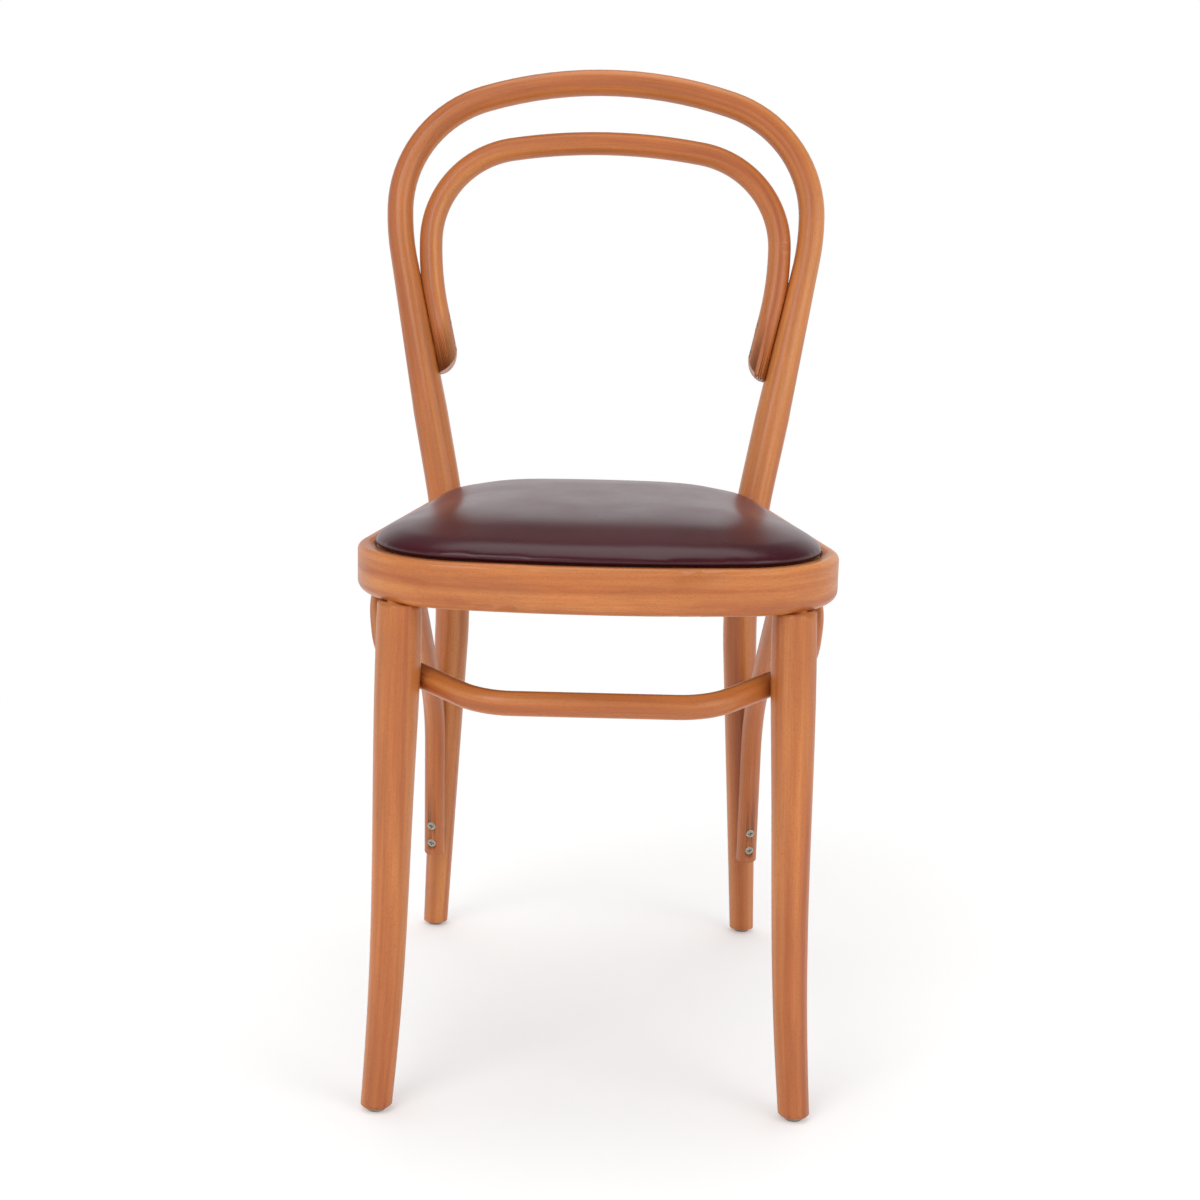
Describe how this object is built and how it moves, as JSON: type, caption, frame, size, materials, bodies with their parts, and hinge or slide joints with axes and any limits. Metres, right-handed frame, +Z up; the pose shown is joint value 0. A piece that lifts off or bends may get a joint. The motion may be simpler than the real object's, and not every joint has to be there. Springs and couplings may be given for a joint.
{
  "type": "bentwood bistro chair",
  "caption": "Bentwood side chair: bent hoop back with an inner loop, round upholstered drop-in seat, splayed turned front legs and a bent rod brace.",
  "frame": {"origin": "on the floor, under the middle of the chair's bounding box", "axes": "+Z up, the seat's front and the front legs face -Y, the back is at +Y, X is left to right and the chair is symmetric about X = 0"},
  "size_m": [0.423, 0.505, 0.8649],
  "materials": {
    "beech": "lacquered, semi-gloss",
    "plywood": "raw",
    "leatherette": "semi-gloss",
    "foam": "matte",
    "black_cloth": "matte",
    "steel": "zinc plated",
    "glide_plastic": "matte"
  },
  "bodies": {
    "root": {"back_hoop": "beech", "back_loop": "beech", "loop_screws": "steel", "seat_ring": "beech", "front_leg_left": "beech", "front_leg_right": "beech", "leg_brace": "beech", "brace_rear_screws": "steel", "brace_front_screws": "steel", "brace_ring_screws": "steel", "hoop_bolts": "steel", "bolt_washers": "steel", "bolt_nuts": "steel", "seat_board": "plywood", "seat_foam": "foam", "seat_cover": "leatherette", "cover_staples": "steel", "dust_cover": "black_cloth", "seat_screws": "steel", "foot_glides": "glide_plastic", "glide_nails": "steel"}
  },
  "joints": []
}
